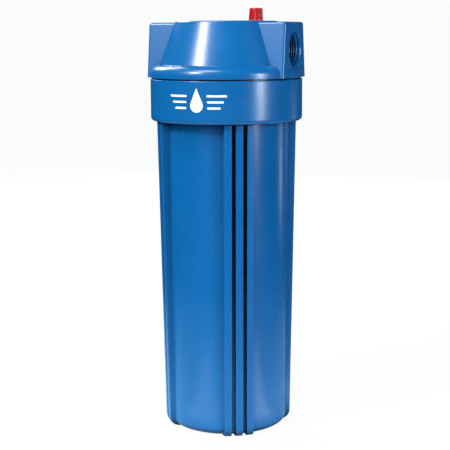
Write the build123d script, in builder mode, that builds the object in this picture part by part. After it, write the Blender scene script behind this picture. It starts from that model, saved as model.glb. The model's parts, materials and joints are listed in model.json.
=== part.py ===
"""A water filter housing for a standard ten-inch cartridge, as an assembly of separate pieces.

The head carries two threaded pipe ports and a push-button pressure relief valve. The sump screws up into
the head's skirt and holds the cartridge. Millimetres, +Z up. The origin is the centre of the plane that the
sump's feet stand on, the ports lie along X, and the front of the head faces -Y.
"""

import os
from math import atan2, cos, degrees, pi, radians, sin

from build123d import *

os.makedirs("parts", exist_ok=True)

# Driving dimensions
HOUSING_D = 117.5  # skirt and flange
HEAD_TOP = 318.0  # flat top of the cone
SEAM = 274.5  # groove between flange and skirt
SKIRT_BOTTOM = 242.5
CARTRIDGE_D = 63.5
CARTRIDGE_LENGTH = 248.0
PORT_HALF_SPAN = 55.9  # port face to axis
PORT_Z = 296.5
GAP = 0.1  # between neighbours that touch

# Head
skirt_r = HOUSING_D / 2
flange_top, flange_round = SEAM + 10.2, 6.6
groove_width, groove_depth = 1.0, 1.8
cone_base_r, cone_top_r = 51.4, 39.4
block_foot_half_depth, block_top_half_depth = 25.6, 20.7  # the front and back of a port block slope
block_top = HEAD_TOP - 0.9
block_edge = 1.9  # radius of its edges
seal_face = 270.0  # where the sump's seal meets the head
chamber_r, chamber_top_r = 45.5, 34.0
chamber_shoulder, chamber_top = 278.0, HEAD_TOP - 5.0
port_thread_r, port_thread_depth, port_chamfer = 13.2, 18.0, 0.6
port_channel_r, port_boss_r, port_boss_x = 9.5, 17.0, 36.0
spigot_r, spigot_bottom = 12.9, 254.0
knife_r, knife_tip = 18.0, 264.3
bracket_x, bracket_y, bracket_hole_r, bracket_hole_depth = 46.0, 16.0, 2.1, 15.0

# Thread between head and sump
thread_pitch = 6.0
skirt_bore_r, head_thread_r = 53.9, 51.9
neck_r, sump_thread_r = 51.4, 53.3
thread_root, thread_crest = 2.8, 1.5  # axial widths of one ridge
head_thread_from, head_thread_height = SKIRT_BOTTOM + 5.5, 16.0
sump_thread_from, sump_thread_height = head_thread_from + thread_pitch / 2, 10.0

# Sump
foot_height = 1.2
body_bottom_r, body_top_r, body_corner = 47.0, 47.6, 5.5
wall = 4.4
floor_top = foot_height + 5.8
seat_height = 9.0  # from the floor to the cartridge
rib_top = SKIRT_BOTTOM - 0.6
rib_envelope_top_r, rib_envelope_bottom_r, rib_corner = 54.1, 49.9, 7.0
rib_width, rib_pitch = 5.8, 8.6
rib_groups = 4
first_group_angle = -57.7  # where the sump comes to rest when it is tight
seal_mean_r = 48.9

# Relief valve, on the inlet side of the head's top
valve_x = 24.6
valve_bore_r, valve_ledge, valve_floor = 6.1, HEAD_TOP - 4.5, HEAD_TOP - 9.0
valve_seat = HEAD_TOP - 13.5
guide_outer_r, valve_boss_r = 7.7, 9.8
button_r, button_top_r = 5.6, 4.9
button_bottom, button_top = HEAD_TOP - 3.2, HEAD_TOP + 9.6
button_flutes, flute_r, first_flute_angle = 11, 0.85, -73
button_lean = degrees(atan2(button_r - button_top_r, button_top - HEAD_TOP - 0.3))
stem_r = 1.4


def save(builder, name):
    """Labels a finished piece and writes it under its node name."""
    builder.part.label = name
    export_step(builder.part, f"parts/{name}.step")


def round_corner(sketch, x, z, radius):
    """Rounds the corner of an open sketch that lies at x and z."""
    fillet(sketch.vertices().sort_by_distance((x, z, 0))[0], radius)


def ridge(root_r, crest_r, start, height):
    """A helical thread ridge that stands from a little inside root_r to crest_r."""
    inward = crest_r < root_r
    bed = root_r + 0.3 if inward else root_r - 0.3
    half_root, half_crest = thread_root / 2, thread_crest / 2
    with BuildPart() as thread:
        with BuildLine() as path:
            Helix(pitch=thread_pitch, height=height, radius=root_r, center=(0, 0, start))
        with BuildSketch(Plane(origin=(0, 0, start), x_dir=(1, 0, 0), z_dir=(0, -1, 0))):
            with BuildLine():
                Polyline(
                    (bed, -half_root),
                    (crest_r, -half_crest),
                    (crest_r, half_crest),
                    (bed, half_root),
                    close=True,
                )
            make_face()
        sweep(path=path.line, is_frenet=True)
    return thread.part


def ring(inner_r, outer_r, bottom, height, centre_x=0.0):
    """A plain ring about a vertical axis, for gaskets, washers and guides."""
    with BuildPart() as part:
        with BuildSketch(Plane.XY.offset(bottom)):
            with Locations((centre_x, 0)):
                Circle(outer_r)
                Circle(inner_r, mode=Mode.SUBTRACT)
        extrude(amount=height)
    return part


def squeezed_o_ring(mean_r, width, bottom, height, centre_x=0.0):
    """An O-ring as it sits in its groove, pressed to an oval section."""
    axis = Axis((centre_x, 0, 0), (0, 0, 1))
    with BuildPart() as part:
        with BuildSketch(Plane.XZ):
            with Locations((centre_x + mean_r, bottom + height / 2)):
                Ellipse(width / 2, height / 2)
        revolve(axis=axis)
    return part


# Head: one moulding. Its outside is a revolved skirt, flange and cone, with a block for the ports.
with BuildPart() as head_chamber:
    with BuildSketch(Plane.XZ):
        with BuildLine():
            Polyline(
                (0, seal_face - 0.01),
                (chamber_r, seal_face - 0.01),
                (chamber_r, chamber_shoulder),
                (chamber_top_r, chamber_top),
                (0, chamber_top),
                close=True,
            )
        make_face()
    revolve(axis=Axis.Z)

with BuildPart() as head_webs:
    # Stiffening webs and bosses inside the chamber, trimmed to it with a little overlap into the wall.
    with BuildSketch(Plane.XY.offset(seal_face + 3)):
        with PolarLocations(chamber_r / 2 + 3, 4, start_angle=45):
            Rectangle(chamber_r, 3)
        Circle(spigot_r)
        Circle(knife_r + 4)
    extrude(amount=3)
    with BuildSketch(Plane.XY.offset(seal_face + 3)):
        with PolarLocations(chamber_r / 2 + 3, 4, start_angle=45):
            Rectangle(chamber_r, 3)
    extrude(amount=chamber_top - seal_face)
    with Locations((0, 0, PORT_Z)):
        Cylinder(spigot_r, 40)
    with Locations((-chamber_r / 2, 0, PORT_Z)):
        Cylinder(spigot_r + 1, chamber_r, rotation=(0, 90, 0))
    for side in (-1, 1):
        with Locations((side * (port_boss_x + 8), 0, PORT_Z)):
            Cylinder(port_boss_r, 16, rotation=(0, 90, 0))
    with Locations((valve_x, 0, valve_seat)):
        Cylinder(valve_boss_r, 20, align=(Align.CENTER, Align.CENTER, Align.MIN))
    with BuildSketch(Plane.XZ):
        with BuildLine():
            Polyline(
                (0, seal_face),
                (chamber_r + 0.5, seal_face),
                (chamber_r + 0.5, chamber_shoulder),
                (chamber_top_r + 0.5, chamber_top + 0.5),
                (0, chamber_top + 0.5),
                close=True,
            )
        make_face()
    revolve(axis=Axis.Z, mode=Mode.INTERSECT)

with BuildPart() as head:
    with BuildSketch(Plane.XZ) as outline:
        with BuildLine():
            Polyline(
                (0, HEAD_TOP),
                (cone_top_r, HEAD_TOP),
                (cone_base_r, flange_top),
                (skirt_r, flange_top),
                (skirt_r, SEAM + groove_width),
                (skirt_r - groove_depth, SEAM + groove_width),
                (skirt_r - groove_depth, SEAM),
                (skirt_r, SEAM),
                (skirt_r, SKIRT_BOTTOM),
                (0, SKIRT_BOTTOM),
                close=True,
            )
        make_face()
        round_corner(outline, skirt_r, flange_top, flange_round)
        round_corner(outline, skirt_r, SKIRT_BOTTOM, 3.0)
        round_corner(outline, skirt_r, SEAM, 0.6)
        round_corner(outline, cone_top_r, HEAD_TOP, 1.4)
        round_corner(outline, cone_base_r, flange_top, 0.8)
    revolve(axis=Axis.Z)
    with BuildPart(mode=Mode.PRIVATE) as block:
        with BuildSketch(Plane.YZ):
            with BuildLine():
                Polyline(
                    (-block_foot_half_depth, SEAM + groove_width),
                    (block_foot_half_depth, SEAM + groove_width),
                    (block_top_half_depth, block_top),
                    (-block_top_half_depth, block_top),
                    close=True,
                )
            make_face()
        extrude(amount=PORT_HALF_SPAN, both=True)
        fillet(block.edges().filter_by(lambda e: abs((e @ 0).Z - (e @ 1).Z) > 20), block_edge)
        fillet(block.faces().sort_by(Axis.Z)[-1].edges(), block_edge)
    add(block.part)
    # Skirt bore, seal face and wet chamber
    with BuildSketch(Plane.XZ):
        with BuildLine():
            Polyline(
                (0, SKIRT_BOTTOM),
                (skirt_bore_r + 0.9, SKIRT_BOTTOM),
                (skirt_bore_r, SKIRT_BOTTOM + 3),
                (skirt_bore_r, seal_face - 4.5),
                (neck_r + 1.0, seal_face - 3.5),
                (neck_r + 1.0, seal_face),
                (0, seal_face),
                close=True,
            )
        make_face()
    revolve(axis=Axis.Z, mode=Mode.SUBTRACT)
    add(head_chamber.part, mode=Mode.SUBTRACT)
    add(head_webs.part)
    # Central outlet tube with a sealing ring round it
    with Locations((0, 0, spigot_bottom)):
        Cylinder(spigot_r, PORT_Z - spigot_bottom, align=(Align.CENTER, Align.CENTER, Align.MIN))
    with BuildSketch(Plane.XZ):
        with BuildLine():
            Polyline(
                (knife_r - 1.2, seal_face + 3.5),
                (knife_r - 1.2, seal_face),
                (knife_r, knife_tip),
                (knife_r + 1.2, seal_face),
                (knife_r + 1.2, seal_face + 3.5),
                close=True,
            )
        make_face()
    revolve(axis=Axis.Z)
    # Waterways: the outlet turns down the centre tube, and the inlet opens into the chamber
    with Locations((0, 0, spigot_bottom - 1)):
        Cylinder(port_channel_r, PORT_Z - spigot_bottom + 1, mode=Mode.SUBTRACT,
                 align=(Align.CENTER, Align.CENTER, Align.MIN))
    with Locations((-PORT_HALF_SPAN / 2, 0, PORT_Z)):
        Cylinder(port_channel_r, PORT_HALF_SPAN, rotation=(0, 90, 0), mode=Mode.SUBTRACT)
    with Locations((port_boss_x + 10, 0, PORT_Z)):
        Cylinder(port_channel_r, 21, rotation=(0, 90, 0), mode=Mode.SUBTRACT)
    for side in (-1, 1):
        with BuildSketch(Plane.XZ):
            with BuildLine():
                Polyline(
                    (side * (PORT_HALF_SPAN + 2), PORT_Z),
                    (side * (PORT_HALF_SPAN + 2), PORT_Z + port_thread_r + port_chamfer + 2),
                    (side * (PORT_HALF_SPAN - port_chamfer), PORT_Z + port_thread_r),
                    (side * (PORT_HALF_SPAN - port_thread_depth), PORT_Z + port_thread_r),
                    (side * (PORT_HALF_SPAN - port_thread_depth), PORT_Z),
                    close=True,
                )
            make_face()
        revolve(axis=Axis((0, 0, PORT_Z), (1, 0, 0)), mode=Mode.SUBTRACT)
    # Relief valve bore, and four holes for bracket screws
    with BuildSketch(Plane.XZ):
        with BuildLine():
            Polyline(
                (valve_x, HEAD_TOP + 1),
                (valve_x + guide_outer_r, HEAD_TOP + 1),
                (valve_x + guide_outer_r, valve_ledge),
                (valve_x + valve_bore_r, valve_ledge),
                (valve_x + valve_bore_r, valve_floor),
                (valve_x + stem_r + 0.3, valve_floor),
                (valve_x + stem_r + 0.3, valve_seat - 1),
                (valve_x, valve_seat - 1),
                close=True,
            )
        make_face()
    revolve(axis=Axis((valve_x, 0, 0), (0, 0, 1)), mode=Mode.SUBTRACT)
    with Locations(Plane.XY.offset(block_top)):
        with GridLocations(2 * bracket_x, 2 * bracket_y, 2, 2):
            Hole(bracket_hole_r, depth=bracket_hole_depth)
    add(ridge(skirt_bore_r, head_thread_r, head_thread_from, head_thread_height))
save(head, "head")

# Badge: a printed film on the front of the skirt, with a water drop between waves
badge_z, badge_film = 260.0, 0.15
with BuildPart() as badge:
    with BuildSketch(Plane.XZ.offset(skirt_r - 12)):
        with Locations((0, badge_z)):
            Polygon((0, 9.5), (-4.57, -1.5), (4.57, -1.5), align=None)
            with Locations((0, -3.4)):
                Circle(4.95)
            for side in (-1, 1):
                for step in range(3):
                    with Locations((side * (15.2 - step), 3.6 - 4.4 * step)):
                        SlotOverall(14.5 - 2.4 * step, 1.5)
    extrude(amount=14)
    with BuildSketch(Plane.XY.offset(badge_z - 15)):
        Circle(skirt_r + badge_film)
        Circle(skirt_r, mode=Mode.SUBTRACT)
    extrude(amount=30, mode=Mode.INTERSECT)
save(badge, "badge")

# Sump: a tapered cup with four groups of three grip ribs, which run under the base as feet
with BuildPart() as sump_ribs:
    with BuildSketch(Plane.XZ.offset(-rib_width / 2)):
        with BuildLine():
            Polyline(
                (45, rib_top),
                (60, rib_top),
                (60, 0),
                (29, 0),
                (26, foot_height + 1.5),
                (38, foot_height + 1.5),
                (45, 14),
                close=True,
            )
        make_face()
    extrude(amount=rib_width)
    one_rib = sump_ribs.part
with BuildPart() as rib_envelope:
    with BuildSketch(Plane.XZ) as envelope_outline:
        with BuildLine():
            Polyline(
                (0, 0),
                (rib_envelope_bottom_r, 0),
                (rib_envelope_top_r, rib_top),
                (0, rib_top),
                close=True,
            )
        make_face()
        round_corner(envelope_outline, rib_envelope_bottom_r, 0, rib_corner)
    revolve(axis=Axis.Z)
with BuildPart() as rib_group:
    with Locations((0, -rib_pitch, 0), (0, 0, 0), (0, rib_pitch, 0)):
        add(one_rib)
    add(rib_envelope.part, mode=Mode.INTERSECT)
    long_edges = rib_group.edges().filter_by(lambda e: e.length > 150 and (e @ 0.5).X > 48.5)
    fillet(long_edges, 0.7)

with BuildPart() as sump:
    with BuildSketch(Plane.XZ) as body_outline:
        with BuildLine():
            Polyline(
                (0, foot_height),
                (body_bottom_r, foot_height),
                (body_top_r, rib_top),
                (body_top_r, SKIRT_BOTTOM + 0.5),
                (neck_r, SKIRT_BOTTOM + 4),
                (neck_r, seal_face - GAP),
                (neck_r - 5.0, seal_face - GAP),
                (neck_r - 5.0, SKIRT_BOTTOM + 10),
                (body_top_r - wall, SKIRT_BOTTOM + 2),
                (body_bottom_r - wall, floor_top),
                (0, floor_top),
                close=True,
            )
        make_face()
        round_corner(body_outline, body_bottom_r, foot_height, body_corner)
        round_corner(body_outline, body_bottom_r - wall, floor_top, body_corner - 2)
    revolve(axis=Axis.Z)
    with PolarLocations(0, rib_groups, start_angle=first_group_angle):
        add(rib_group.part)
    # Seal groove in the rim
    with BuildSketch(Plane.XY.offset(seal_face - GAP)):
        Circle(seal_mean_r + 1.7)
        Circle(seal_mean_r - 1.7, mode=Mode.SUBTRACT)
    extrude(amount=-2.3, mode=Mode.SUBTRACT)
    # Seat for the cartridge: a post in its bore and a sealing ring
    with BuildSketch(Plane.XZ):
        with BuildLine():
            Polyline(
                (0, floor_top - 1),
                (knife_r + 2.0, floor_top - 1),
                (knife_r + 1.4, floor_top + seat_height - 3.5),
                (knife_r, floor_top + seat_height),
                (knife_r - 1.4, floor_top + seat_height - 3.5),
                (spigot_r, floor_top + seat_height - 3.5),
                (spigot_r - 0.6, floor_top + seat_height + 6),
                (spigot_r - 2.6, floor_top + seat_height + 8),
                (0, floor_top + seat_height + 8),
                close=True,
            )
        make_face()
    revolve(axis=Axis.Z)
    add(ridge(neck_r, sump_thread_r, sump_thread_from, sump_thread_height))
save(sump, "sump")

sump_o_ring = squeezed_o_ring(seal_mean_r, 3.3, seal_face - GAP - 2.28, 2.33)
save(sump_o_ring, "sump_o_ring")

# Cartridge: pleated medium round a slotted core, with a cage outside and a cap and gasket at each end
cartridge_bottom = knife_tip - GAP - CARTRIDGE_LENGTH
gasket_thickness, cap_thickness = 2.0, 6.0
cartridge_r = CARTRIDGE_D / 2
core_inner_r, core_outer_r = 14.2, 16.5
media_bottom = cartridge_bottom + gasket_thickness + cap_thickness
media_height = CARTRIDGE_LENGTH - 2 * (gasket_thickness + cap_thickness)
pleats = 36
pleat_tip_r, pleat_valley_r, pleat_sheet = 30.4, 21.2, 4.1  # the last is a sheet's radial thickness
cage_rings, cage_bars, cage_wire = 17, 24, 0.8


def star(tip_r, valley_r):
    """Corner points of one zigzag round the axis."""
    return [
        ((tip_r, valley_r)[i % 2] * cos(pi * i / pleats), (tip_r, valley_r)[i % 2] * sin(pi * i / pleats))
        for i in range(2 * pleats)
    ]


with BuildPart() as cartridge_media:
    with BuildSketch(Plane.XY.offset(media_bottom)):
        with BuildLine():
            Polyline(*star(pleat_tip_r, pleat_valley_r), close=True)
        make_face()
        with BuildLine(mode=Mode.PRIVATE) as inner_zigzag:
            Polyline(*star(pleat_tip_r - pleat_sheet, pleat_valley_r - pleat_sheet), close=True)
        make_face(inner_zigzag.line, mode=Mode.SUBTRACT)
    extrude(amount=media_height)
save(cartridge_media, "cartridge_media")

with BuildPart() as cartridge_core:
    with BuildSketch(Plane.XY.offset(media_bottom)):
        Circle(core_outer_r)
        Circle(core_inner_r, mode=Mode.SUBTRACT)
    extrude(amount=media_height)
    slot_rows, slots_per_row = 9, 6
    for row in range(slot_rows):
        slot_z = media_bottom + media_height * (row + 0.5) / slot_rows
        turn = 180 / slots_per_row * (row % 2)
        with PolarLocations(core_outer_r, slots_per_row, start_angle=turn):
            with Locations((0, 0, slot_z)):
                Box(8, 3.6, 16, mode=Mode.SUBTRACT)
save(cartridge_core, "cartridge_core")

with BuildPart() as cartridge_cage:
    for k in range(cage_rings):
        ring_z = media_bottom + (media_height - cage_wire) * k / (cage_rings - 1)
        with BuildSketch(Plane.XY.offset(ring_z)):
            Circle(cartridge_r - 0.2)
            Circle(cartridge_r - 0.2 - cage_wire, mode=Mode.SUBTRACT)
        extrude(amount=cage_wire)
    with BuildSketch(Plane.XY.offset(media_bottom)):
        with PolarLocations(cartridge_r - 0.2 - cage_wire / 2, cage_bars):
            Rectangle(cage_wire * 0.9, 1.0)
    extrude(amount=media_height)
save(cartridge_cage, "cartridge_cage")

for name, cap_z, gasket_z in (
    ("bottom", cartridge_bottom + gasket_thickness, cartridge_bottom),
    ("top", media_bottom + media_height, media_bottom + media_height + cap_thickness),
):
    cap = ring(core_inner_r, cartridge_r, cap_z, cap_thickness)
    with cap:
        fillet(cap.faces().sort_by(Axis.Z)[-1 if name == "top" else 0].edges(), 1.2)
    save(cap, f"cartridge_{name}_cap")
    save(ring(core_inner_r + 0.6, 24.0, gasket_z, gasket_thickness), f"cartridge_{name}_gasket")

# Relief valve: pressing the button moves the stem and its disc down, off the seat
with BuildPart() as relief_button:
    with BuildSketch(Plane.XZ) as button_outline:
        with BuildLine():
            Polyline(
                (valve_x, button_bottom),
                (valve_x + button_r, button_bottom),
                (valve_x + button_r, HEAD_TOP + 0.3),
                (valve_x + button_top_r, button_top),
                (valve_x, button_top),
                close=True,
            )
        make_face()
        round_corner(button_outline, valve_x + button_top_r, button_top, 0.6)
    revolve(axis=Axis((valve_x, 0, 0), (0, 0, 1)))
    with Locations((valve_x, 0, HEAD_TOP + 0.4)):
        with PolarLocations(button_r + 0.15, button_flutes, start_angle=first_flute_angle):
            Cylinder(flute_r, button_top - HEAD_TOP + 1, rotation=(0, -button_lean, 0),
                     align=(Align.CENTER, Align.CENTER, Align.MIN), mode=Mode.SUBTRACT)
    with BuildSketch(Plane.XY.offset(button_bottom + 0.9)):
        with Locations((valve_x, 0)):
            Circle(button_r + 1)
            Circle(button_r - 1.0, mode=Mode.SUBTRACT)
    extrude(amount=1.6, mode=Mode.SUBTRACT)
    with Locations((valve_x, 0, button_bottom)):
        Cylinder(stem_r, 9, align=(Align.CENTER, Align.CENTER, Align.MIN), mode=Mode.SUBTRACT)
save(relief_button, "relief_button")

save(squeezed_o_ring(button_r - 0.18, 1.5, button_bottom + 0.95, 1.5, valve_x), "relief_button_seal")
save(ring(button_r + 0.75, guide_outer_r, valve_ledge, HEAD_TOP - valve_ledge, valve_x), "relief_guide")
save(ring(stem_r + 0.5, valve_bore_r - 1.0, valve_floor, 0.5, valve_x), "relief_washer")

disc_top, disc_thickness = valve_seat - 1.5, 1.4
stem_bottom = disc_top - disc_thickness - 1.6
with BuildPart() as relief_stem:
    with BuildSketch(Plane.XY.offset(stem_bottom)):
        with Locations((valve_x, 0)):
            Circle(stem_r)
    extrude(amount=button_bottom + 9 - stem_bottom)
    with BuildSketch(Plane.XY.offset(disc_top - disc_thickness - 0.7)):
        with Locations((valve_x, 0)):
            Circle(stem_r + 1)
            Circle(stem_r - 0.4, mode=Mode.SUBTRACT)
    extrude(amount=0.6, mode=Mode.SUBTRACT)
save(relief_stem, "relief_stem")

save(ring(stem_r + 0.05, 3.6, disc_top - disc_thickness, disc_thickness, valve_x), "relief_disc")
save(squeezed_o_ring(2.65, 1.9, disc_top + 0.02, 1.44, valve_x), "relief_seal")

with BuildPart() as relief_clip:
    with BuildSketch(Plane.XY.offset(disc_top - disc_thickness - 0.65)):
        with Locations((valve_x, 0)):
            Circle(2.8)
            Circle(stem_r - 0.35, mode=Mode.SUBTRACT)
        with Locations((valve_x + 2, 0)):
            Rectangle(4, 2 * (stem_r - 0.35), mode=Mode.SUBTRACT)
    extrude(amount=0.5)
save(relief_clip, "relief_clip")

spring_wire, spring_mean_r, spring_turns = 0.35, 3.4, 3.0
spring_bottom = valve_floor + 0.5 + spring_wire + 0.02
spring_height = button_bottom - spring_wire - 0.02 - spring_bottom
with BuildPart() as relief_spring:
    with BuildLine() as coil:
        Helix(pitch=spring_height / spring_turns, height=spring_height, radius=spring_mean_r,
              center=(valve_x, 0, spring_bottom))
    with BuildSketch(Plane(origin=coil.line @ 0, z_dir=coil.line % 0)):
        Circle(spring_wire)
    sweep(path=coil.line, is_frenet=True)
save(relief_spring, "relief_spring")
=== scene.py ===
"""Looks of the cartridge filter housing.

Materials, pipe threads, gate marks, the valve spring's coil, the studio and the camera. All lengths are
in metres.
"""

import json
from math import cos, pi, radians, sin

import bmesh
import bpy
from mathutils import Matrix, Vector


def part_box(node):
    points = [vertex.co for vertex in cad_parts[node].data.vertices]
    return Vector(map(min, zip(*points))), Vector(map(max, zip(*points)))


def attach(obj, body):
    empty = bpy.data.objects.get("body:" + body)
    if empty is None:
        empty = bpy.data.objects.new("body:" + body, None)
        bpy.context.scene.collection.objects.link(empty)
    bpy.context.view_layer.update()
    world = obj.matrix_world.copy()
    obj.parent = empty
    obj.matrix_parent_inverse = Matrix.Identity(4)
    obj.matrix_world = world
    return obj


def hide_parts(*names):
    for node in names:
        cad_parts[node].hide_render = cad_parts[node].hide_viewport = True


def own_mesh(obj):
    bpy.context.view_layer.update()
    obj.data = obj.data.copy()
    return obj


MM = 0.001

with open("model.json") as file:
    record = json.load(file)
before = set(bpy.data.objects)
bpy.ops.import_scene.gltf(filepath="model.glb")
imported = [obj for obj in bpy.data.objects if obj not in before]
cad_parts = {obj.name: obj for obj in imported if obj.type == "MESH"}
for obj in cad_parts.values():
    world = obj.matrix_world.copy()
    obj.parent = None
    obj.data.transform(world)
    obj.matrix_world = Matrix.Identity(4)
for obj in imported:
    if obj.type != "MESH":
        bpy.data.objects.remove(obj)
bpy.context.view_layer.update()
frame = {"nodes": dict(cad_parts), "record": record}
nodes = frame["nodes"]

head_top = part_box("head")[1].z
mounts = {m["name"]: m for m in frame["record"]["mounts"]}


# ---------------------------------------------------------------- materials


class Graph:
    """A material's node tree, with short ways to add and join its nodes."""

    def __init__(self, name):
        self.material = bpy.data.materials.new(name)
        self.material.use_nodes = True
        self.tree = self.material.node_tree
        self.shader = self.tree.nodes["Principled BSDF"]
        self.place = self.add("ShaderNodeTexCoord").outputs["Object"]

    def add(self, kind, **values):
        """Adds a node and fills its settings and sockets with numbers, colours or other nodes' outputs."""
        node = self.tree.nodes.new(kind)
        for key, value in values.items():
            if hasattr(node, key) and key not in node.inputs:
                setattr(node, key, value)
            else:
                self.feed(node.inputs[key], value)
        return node

    def feed(self, socket, value):
        if isinstance(value, bpy.types.NodeSocket):
            self.tree.links.new(value, socket)
        else:
            socket.default_value = value

    def noise(self, scale, detail=3.0, stretch=(1, 1, 1)):
        """Noise from 0 to 1 whose features are about 1/scale metres, stretched by axis."""
        spread = self.add("ShaderNodeMapping", Scale=stretch)
        self.feed(spread.inputs["Vector"], self.place)
        texture = self.add("ShaderNodeTexNoise", Vector=spread.outputs[0], Scale=scale, Detail=detail)
        return texture.outputs["Fac"]

    def remap(self, value, low, high, to_low, to_high):
        """Moves a value from one range to another, clamped."""
        node = self.add("ShaderNodeMapRange")
        for socket, number in zip(node.inputs[:5], (value, low, high, to_low, to_high)):
            self.feed(socket, number)
        return node.outputs[0]

    def mix(self, factor, first, second):
        node = self.add("ShaderNodeMix", data_type="RGBA")
        self.feed(node.inputs[0], factor)
        self.feed(node.inputs[6], first)
        self.feed(node.inputs[7], second)
        return node.outputs[2]

    def bump(self, height, distance, below=None):
        node = self.add("ShaderNodeBump", Height=height, Distance=distance, Strength=1.0)
        if below is not None:
            self.feed(node.inputs["Normal"], below)
        return node.outputs[0]

    def edges(self, radius):
        """Rounded shading normals at sharp edges, and from 0 to 1 how near a point is to such an edge."""
        flat, sharp = 0.995, 0.90  # cosine between the rounded and the true normal
        rounded = self.add("ShaderNodeBevel", samples=6, Radius=radius).outputs[0]
        true_normal = self.add("ShaderNodeNewGeometry").outputs["Normal"]
        match = self.add("ShaderNodeVectorMath", operation="DOT_PRODUCT")
        self.feed(match.inputs[0], rounded)
        self.feed(match.inputs[1], true_normal)
        return rounded, self.remap(match.outputs["Value"], flat, sharp, 0.0, 1.0)

    def paint_corner_light(self, reach, colour, painted_tone):
        """Turns a colour to a painted shade or highlight in gaps and inside corners narrower than reach.
        """
        closed, open_wide = 0.32, 0.82
        hidden = self.add("ShaderNodeAmbientOcclusion", samples=8, Distance=reach).outputs["AO"]
        return self.mix(self.remap(hidden, closed, open_wide, 0.0, 1.0), painted_tone, colour)

    def set(self, **values):
        """Sets the shader's sockets, named with _ for a space."""
        for key, value in values.items():
            self.feed(self.shader.inputs[key.replace("_", " ")], value)
        return self.material


def lighter(colour, share):
    return tuple(c + (1 - c) * share for c in colour[:3]) + (1.0,)


def darker(colour, share):
    return tuple(c * (1 - share) for c in colour[:3]) + (1.0,)


def moulded_plastic(name, colour, gloss, peel, edge_radius, corner_reach, painted_corner_tone):
    """Glossy moulded plastic: clouded pigment, flow lines, orange peel, rubbed edges and fine scuffs."""
    g = Graph(name)
    rounded, edge = g.edges(edge_radius)
    cloud = g.noise(22.0, 3.0)
    flow = g.noise(60.0, 2.0, stretch=(1, 1, 0.15))
    speck = g.noise(2600.0, 1.0)
    scuff = g.noise(420.0, 2.0, stretch=(1, 1, 0.10))
    body = g.mix(g.remap(cloud, 0.3, 0.7, 0.0, 1.0), darker(colour, 0.06), lighter(colour, 0.002))
    body = g.mix(g.remap(flow, 0.45, 0.75, 0.0, 0.3), body, darker(colour, 0.10))
    body = g.mix(g.remap(speck, 0.66, 0.72, 0.0, 0.12), body, lighter(colour, 0.04))
    worn = g.add("ShaderNodeMath", operation="MULTIPLY")
    g.feed(worn.inputs[0], edge)
    g.feed(worn.inputs[1], g.remap(g.noise(160.0, 3.0), 0.35, 0.65, 0.1, 0.4))
    body = g.mix(worn.outputs[0], body, lighter(colour, 0.10))
    # painted light in gaps and inside corners: painted shade, or on the red a painted highlight
    body = g.paint_corner_light(corner_reach, body, painted_corner_tone)
    rough = g.add("ShaderNodeMath", operation="ADD")
    g.feed(rough.inputs[0], g.remap(cloud, 0.3, 0.7, gloss, gloss + 0.05))
    g.feed(rough.inputs[1], g.remap(scuff, 0.62, 0.76, 0.0, 0.025))
    normal = g.bump(g.noise(420.0, 2.0), peel, rounded)
    normal = g.bump(speck, peel * 0.03, normal)
    return g.set(Base_Color=body, Roughness=rough.outputs[0], Normal=normal, IOR=1.5)


def rubber(name, colour):
    """Smooth moulded rubber with a faint bloom."""
    g = Graph(name)
    bloom = g.noise(300.0, 4.0)
    body = g.mix(g.remap(bloom, 0.4, 0.7, 0.0, 1.0), colour, lighter(colour, 0.05))
    normal = g.bump(g.noise(1800.0, 2.0), 0.03 * MM)
    return g.set(Base_Color=body, Roughness=g.remap(bloom, 0.3, 0.7, 0.42, 0.62), Normal=normal)


def drawn_steel(name, colour):
    """Stainless steel with fine lines round or along the piece."""
    g = Graph(name)
    lines = g.noise(900.0, 3.0, stretch=(0.25, 0.25, 6))
    body = g.mix(g.remap(lines, 0.3, 0.7, 0.0, 1.0), darker(colour, 0.18), colour)
    normal = g.bump(lines, 0.01 * MM)
    rough = g.remap(lines, 0.3, 0.7, 0.18, 0.34)
    return g.set(Base_Color=body, Metallic=1.0, Roughness=rough, Normal=normal)


def filter_felt(name, colour):
    """Pressed non-woven fibre: a fine random nap with embossed points."""
    g = Graph(name)
    fibre = g.noise(2400.0, 5.0, stretch=(1, 1, 0.3))
    dots = g.add("ShaderNodeTexVoronoi", Vector=g.place, Scale=700.0).outputs["Distance"]
    body = g.mix(g.remap(fibre, 0.35, 0.7, 0.0, 1.0), darker(colour, 0.10), lighter(colour, 0.3))
    normal = g.bump(fibre, 0.12 * MM)
    normal = g.bump(dots, 0.10 * MM, normal)
    return g.set(Base_Color=body, Roughness=0.85, Normal=normal, Sheen_Weight=0.2)


def printed_ink(name, colour):
    """Screen-printed ink: opaque, slightly uneven, with a few worn pinholes."""
    g = Graph(name)
    pinhole = g.noise(1500.0, 3.0)
    body = g.mix(g.remap(pinhole, 0.70, 0.76, 0.0, 0.6), colour, BLUE)
    normal = g.bump(g.noise(900.0, 2.0), 0.02 * MM)
    return g.set(Base_Color=body, Roughness=g.remap(pinhole, 0.3, 0.7, 0.30, 0.42), Normal=normal)


BLUE = (0.0010, 0.108, 0.318, 1.0)
RED = (0.42, 0.006, 0.007, 1.0)
WHITE = (0.86, 0.87, 0.86, 1.0)
INK_WHITE = (0.90, 0.91, 0.93, 1.0)
RUBBER_BLACK = (0.016, 0.016, 0.018, 1.0)
STEEL_GREY = (0.60, 0.60, 0.61, 1.0)
FELT_CREAM = (0.78, 0.76, 0.69, 1.0)

# Painted light in gaps and inside corners: shade on the blue and white plastic, a highlight on the red
BLUE_PAINTED_SHADE = (0.0001, 0.0095, 0.032, 1.0)
RED_PAINTED_HIGHLIGHT = (0.95, 0.60, 0.52, 1.0)
GREY_PAINTED_SHADE = (0.50, 0.50, 0.48, 1.0)

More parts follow.
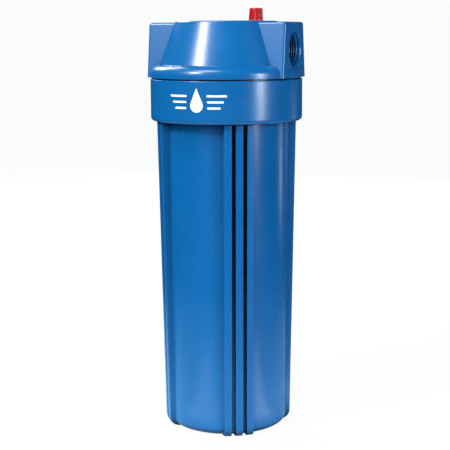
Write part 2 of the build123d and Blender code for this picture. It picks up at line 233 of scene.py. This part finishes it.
blue_plastic = moulded_plastic(
    "blue_moulded_plastic",
    BLUE,
    gloss=0.24,
    peel=0.03 * MM,
    edge_radius=0.6 * MM,
    corner_reach=12 * MM,
    # painted shade: slots, ports and the recess under the collar darken to navy
    painted_corner_tone=BLUE_PAINTED_SHADE,
)
red_plastic = moulded_plastic(
    "red_moulded_plastic",
    RED,
    gloss=0.07,
    peel=0.03 * MM,
    edge_radius=0.2 * MM,
    corner_reach=0.7 * MM,
    # painted highlight: pale streaks in the button's flutes stand in for glints
    painted_corner_tone=RED_PAINTED_HIGHLIGHT,
)
white_plastic = moulded_plastic(
    "white_moulded_plastic",
    WHITE,
    gloss=0.34,
    peel=0.05 * MM,
    edge_radius=0.3 * MM,
    corner_reach=6 * MM,
    # painted shade: inside corners darken to grey
    painted_corner_tone=GREY_PAINTED_SHADE,
)
looks = {
    "blue_plastic": blue_plastic,
    "red_plastic": red_plastic,
    "white_print": printed_ink("white_printed_ink", INK_WHITE),
    "black_rubber": rubber("black_seal_rubber", RUBBER_BLACK),
    "steel": drawn_steel("stainless_steel", STEEL_GREY),
    "white_plastic": white_plastic,
    "filter_fabric": filter_felt("pleated_felt", FELT_CREAM),
}
for part in frame["record"]["subparts"]:
    mesh = nodes[part["node"]].data
    mesh.materials.clear()
    mesh.materials.append(looks[part["material_slot"]])


# ---------------------------------------------------------------- pieces


def finish_piece(name, bm, body, slot, smooth=True):
    """Turns a bmesh into a piece of the object that rides on a CAD body."""
    bmesh.ops.recalc_face_normals(bm, faces=bm.faces)
    mesh = bpy.data.meshes.new(name)
    bm.to_mesh(mesh)
    bm.free()
    mesh.materials.append(looks[slot])
    if smooth:
        mesh.shade_smooth()
    piece = bpy.data.objects.new(name, mesh)
    bpy.context.scene.collection.objects.link(piece)
    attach(piece, body)
    return piece


def swept(bm, sections):
    """Skins a run of equal rings of points and caps both ends."""
    rings = [[bm.verts.new(p) for p in section] for section in sections]
    count = len(rings[0])
    for a, b in zip(rings, rings[1:]):
        for i in range(count):
            j = (i + 1) % count
            bm.faces.new((a[i], a[j], b[j], b[i]))
    bm.faces.new(rings[0])
    bm.faces.new(reversed(rings[-1]))


def turned(name, profile, centre, body, slot, segments=64):
    """A solid of revolution about a vertical axis.

    The profile is a run of (radius, height) points, the first and last on the axis."""
    bm = bmesh.new()
    centre = Vector(centre)
    low = bm.verts.new(centre + Vector((0, 0, profile[0][1])))
    high = bm.verts.new(centre + Vector((0, 0, profile[-1][1])))
    rings = []
    for r, z in profile[1:-1]:
        turn = [2 * pi * k / segments for k in range(segments)]
        rings.append([bm.verts.new(centre + Vector((r * cos(a), r * sin(a), z))) for a in turn])
    for k in range(segments):
        j = (k + 1) % segments
        bm.faces.new((low, rings[0][j], rings[0][k]))
        bm.faces.new((high, rings[-1][k], rings[-1][j]))
        for a, b in zip(rings, rings[1:]):
            bm.faces.new((a[k], a[j], b[j], b[k]))
    finish_piece(name, bm, body, slot)


def pipe_thread(name, mount):
    """A right-hand pipe thread, as one ridge that runs in from a port's mouth."""
    threads_per_inch = 14
    pitch, depth = 25.4 * MM / threads_per_inch, 1.05 * MM
    clear_end = 1.0 * MM
    first_ridge = 0.55  # pitches from the mouth
    steps_per_turn, run_out_steps = 72, 24
    mouth = Vector(mount["pos_m"]) + Vector(mount["axis"]) * mount["dims"]["length_mm"] * MM / 2
    inward = -Vector(mount["axis"])
    wall_r = mount["dims"]["r_mm"] * MM
    length = mount["dims"]["length_mm"] * MM - clear_end
    turns = length / pitch - 1
    steps = int(turns * steps_per_turn)
    # ridge outline as (share of a pitch along the bore, share of the depth off the wall)
    near_flank = ((-0.47, -0.30), (-0.45, 0.0), (-0.08, 0.93))
    far_flank = ((0.08, 0.93), (0.45, 0.0), (0.47, -0.30))
    outline = (*near_flank, (0.0, 1.0), *far_flank)
    sections = []
    for k in range(steps + 1):
        share = k / steps
        angle = 2 * pi * turns * share
        along = pitch * (first_ridge + turns * share)
        rise = depth * min(1.0, share * steps / run_out_steps, (1 - share) * steps / run_out_steps)
        ring = []
        for u, v in outline:
            lift = v * rise if v > 0 else v * depth
            r = wall_r - lift
            side = Vector((0, cos(angle), inward.x * sin(angle)))
            ring.append(mouth + inward * (along + u * pitch) + side * r)
        sections.append(ring)
    bm = bmesh.new()
    swept(bm, sections)
    finish_piece(name, bm, "head", "blue_plastic", smooth=False)


for port in ("inlet", "outlet"):
    pipe_thread(f"{port}_pipe_thread", mounts[f"{port}_port"])

# Gate marks, where the mould was filled: one on the head's top and one under the sump
gate_root = ((0.0, -0.3), (5.2, -0.3))  # radius and height in mm, sunk into the surface
gate_pad = ((5.2, 0.12), (4.9, 0.30), (2.4, 0.34), (2.0, 0.42))
gate_nib = ((1.7, 0.85), (0.9, 0.95), (0.0, 0.90))
gate = gate_root + gate_pad + gate_nib
head_gate_flattening, sump_gate_narrowing = 0.3, 0.9
head_gate = [(r * MM, h * MM * head_gate_flattening) for r, h in gate]
turned("head_gate_mark", head_gate, (0, 0, head_top), "head", "blue_plastic")
sump_underside = 1.2 * MM
sump_gate = [(r * MM * sump_gate_narrowing, -h * MM) for r, h in gate]
turned("sump_gate_mark", sump_gate, (0, 0, sump_underside), "sump", "blue_plastic")

# The valve spring, which shortens as the button is pressed; here a coil at rest length that rides on the
# head
spring_low, spring_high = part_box("relief_spring")
wire_r = 0.35 * MM
spring_x = (spring_low.x + spring_high.x) / 2
coil_r = (spring_high.x - spring_low.x) / 2 - wire_r
coil_turns, coil_steps, wire_sides = 3.0, 180, 10
bm = bmesh.new()
sections = []
for k in range(coil_steps + 1):
    angle = 2 * pi * coil_turns * k / coil_steps
    height = spring_low.z + wire_r + (spring_high.z - spring_low.z - 2 * wire_r) * k / coil_steps
    outward = Vector((cos(angle), sin(angle), 0))
    middle = Vector((spring_x, 0, height)) + outward * coil_r
    turn = [2 * pi * i / wire_sides for i in range(wire_sides)]
    sections.append([middle + outward * wire_r * cos(t) + Vector((0, 0, wire_r * sin(t))) for t in turn])
swept(bm, sections)
spring = finish_piece("relief_coil_spring", bm, "head", "steel")
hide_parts("relief_spring")
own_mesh(spring)


# ---------------------------------------------------------------- studio


CAMERA_AZIMUTH = 22.0  # degrees from the front towards the inlet
CAMERA_DISTANCE, CAMERA_HEIGHT = 0.880, 0.308
CAMERA_PITCH, CAMERA_ROLL = -9.61, 0.3  # degrees
CAMERA_LENS, CAMERA_SHIFT = 90.1, -0.0025  # mm and share of the frame
# tints of the floor's painted pool of light, seen only in reflections
FLOOR_NEAR, FLOOR_FAR = (0.42, 0.75, 0.90, 1.0), (0.0, 0.0, 0.0, 1.0)
FLOOR_SHADED = (0.028, 0.028, 0.028, 1.0)
FLOOR_GLOW = (0.955, 0.958, 0.965, 1.0)
BACKDROP = (0.965, 0.968, 0.974, 1.0)
AMBIENT, AMBIENT_STRENGTH = (0.85, 0.92, 1.0, 1.0), 0.06


def around(azimuth, distance, height):
    """A point at that azimuth from the housing's front, in metres."""
    a = radians(azimuth)
    return Vector((distance * sin(a), -distance * cos(a), height))


camera_data = bpy.data.cameras.new("camera")
camera_data.sensor_width = 36.0
camera_data.lens = CAMERA_LENS
camera_data.shift_x = CAMERA_SHIFT
camera = bpy.data.objects.new("camera", camera_data)
bpy.context.scene.collection.objects.link(camera)
camera.location = around(CAMERA_AZIMUTH, CAMERA_DISTANCE, CAMERA_HEIGHT)
camera.rotation_euler = (radians(90 + CAMERA_PITCH), radians(CAMERA_ROLL), radians(CAMERA_AZIMUTH))
bpy.context.scene.camera = camera


def white_floor():
    """A pale floor that the camera sees evenly white with a soft shadow.

    In reflections it shows a painted pool of light, bright near the housing and fading away from it."""
    bright_to, dark_from, far_share = 0.10, 0.50, 0.03
    g = Graph("floor_white")
    tree = g.tree
    tree.nodes.remove(g.shader)
    distance = g.add("ShaderNodeVectorMath", operation="LENGTH")
    g.feed(distance.inputs[0], g.place)
    # painted pool of light: the floor's colour for reflections fades with distance from the housing
    sheet = g.remap(distance.outputs["Value"], bright_to, dark_from, 1.0, far_share)
    tint = g.mix(sheet, FLOOR_FAR, FLOOR_NEAR)
    painted_light_pool = g.add("ShaderNodeBsdfDiffuse", Color=tint).outputs[0]
    shaded = g.add("ShaderNodeBsdfDiffuse", Color=FLOOR_SHADED).outputs[0]
    glow = g.add("ShaderNodeEmission", Color=FLOOR_GLOW, Strength=1.0).outputs[0]
    seen = g.add("ShaderNodeAddShader")
    tree.links.new(shaded, seen.inputs[0])
    tree.links.new(glow, seen.inputs[1])
    path = g.add("ShaderNodeLightPath")
    choose = g.add("ShaderNodeMixShader")
    g.feed(choose.inputs[0], path.outputs["Is Camera Ray"])
    tree.links.new(painted_light_pool, choose.inputs[1])
    tree.links.new(seen.outputs[0], choose.inputs[2])
    output = next(n for n in tree.nodes if n.type == "OUTPUT_MATERIAL")
    tree.links.new(choose.outputs[0], output.inputs["Surface"])
    return g.material


reach = 8.0  # half the floor's side
floor_mesh = bpy.data.meshes.new("floor")
corners = [(-reach, -reach, 0), (reach, -reach, 0), (reach, reach, 0), (-reach, reach, 0)]
floor_mesh.from_pydata(corners, [], [(0, 1, 2, 3)])
floor_mesh.materials.append(white_floor())
floor = bpy.data.objects.new("floor", floor_mesh)
bpy.context.scene.collection.objects.link(floor)
floor.location.z = -0.1 * MM


def softbox(name, at, aim_height, size, watts, colour=(1, 1, 1), mirrored=True):
    """A rectangular studio light that faces the housing. One that isn't mirrored makes no highlight.

    at is (azimuth from the camera, distance, height) and size is (width, height)."""
    azimuth, distance, height = at
    data = bpy.data.lights.new(name, "AREA")
    data.shape = "RECTANGLE"
    data.size, data.size_y = size
    data.energy = watts
    data.color = colour
    light = bpy.data.objects.new(name, data)
    bpy.context.scene.collection.objects.link(light)
    light.location = around(CAMERA_AZIMUTH + azimuth, distance, height)
    aim = Vector((0, 0, aim_height)) - light.location
    light.rotation_euler = aim.to_track_quat("-Z", "Y").to_euler()
    light.visible_glossy = mirrored
    light.visible_camera = False
    return light


softbox("key_left", at=(-53, 1.20, 1.10), aim_height=0.28, size=(0.32, 0.30), watts=20)
softbox(
    "low_left", at=(-45, 1.6, 0.80), aim_height=0.30, size=(0.60, 0.20), watts=3.0,
    colour=(0.85, 0.92, 1.0),
)
softbox(
    "tall_right", at=(51, 1.2, 0.42), aim_height=0.32, size=(0.20, 0.50), watts=10.5,
    colour=(0.84, 0.92, 1.0),
)
softbox("strip_back_right", at=(121, 1.2, 0.07), aim_height=0.07, size=(0.05, 0.14), watts=0.25)
softbox("top_strip", at=(-45, 0.65, 1.34), aim_height=0.30, size=(0.50, 0.42), watts=9)
softbox(
    "front_fill", at=(-20, 1.5, 0.55), aim_height=0.20, size=(1.20, 0.80), watts=6,
    colour=(0.92, 0.97, 1.0), mirrored=False,
)
softbox(
    "right_fill", at=(44, 1.4, 0.35), aim_height=0.16, size=(0.80, 0.80), watts=1.2,
    colour=(0.70, 0.88, 1.0), mirrored=False,
)
softbox(
    "back_key", at=(-150, 1.3, 1.10), aim_height=0.20, size=(0.60, 0.60), watts=20,
    colour=(0.96, 0.98, 1.0),
)
softbox(
    "back_fill", at=(165, 1.5, 0.50), aim_height=0.18, size=(1.20, 0.80), watts=17,
    colour=(0.92, 0.97, 1.0), mirrored=False,
)


def floor_glint(name, azimuth, near, far, width, watts):
    """A card of light on the floor that only shows as a streak up the sump's foot."""
    card_height = 2 * MM
    at = (azimuth, (near + far) / 2, card_height)
    card = softbox(name, at, card_height, (width, far - near), watts)
    card.rotation_euler = (pi, 0, radians(CAMERA_AZIMUTH + azimuth))
    card.visible_diffuse = False
    card.visible_shadow = False


floor_glint("glint_right", azimuth=52, near=0.07, far=0.30, width=0.04, watts=0.06)
floor_glint("glint_left", azimuth=-38, near=0.07, far=0.26, width=0.07, watts=0.04)

world = bpy.data.worlds.new("studio")
bpy.context.scene.world = world
world.use_nodes = True
tree = world.node_tree
tree.nodes.clear()
seen = tree.nodes.new("ShaderNodeBackground")
seen.inputs["Color"].default_value = BACKDROP
felt = tree.nodes.new("ShaderNodeBackground")
felt.inputs["Color"].default_value = AMBIENT
felt.inputs["Strength"].default_value = AMBIENT_STRENGTH
path = tree.nodes.new("ShaderNodeLightPath")
choose = tree.nodes.new("ShaderNodeMixShader")
output = tree.nodes.new("ShaderNodeOutputWorld")
tree.links.new(path.outputs["Is Camera Ray"], choose.inputs[0])
tree.links.new(felt.outputs[0], choose.inputs[1])
tree.links.new(seen.outputs[0], choose.inputs[2])
tree.links.new(choose.outputs[0], output.inputs[0])
bpy.context.scene.view_settings.view_transform = "Standard"
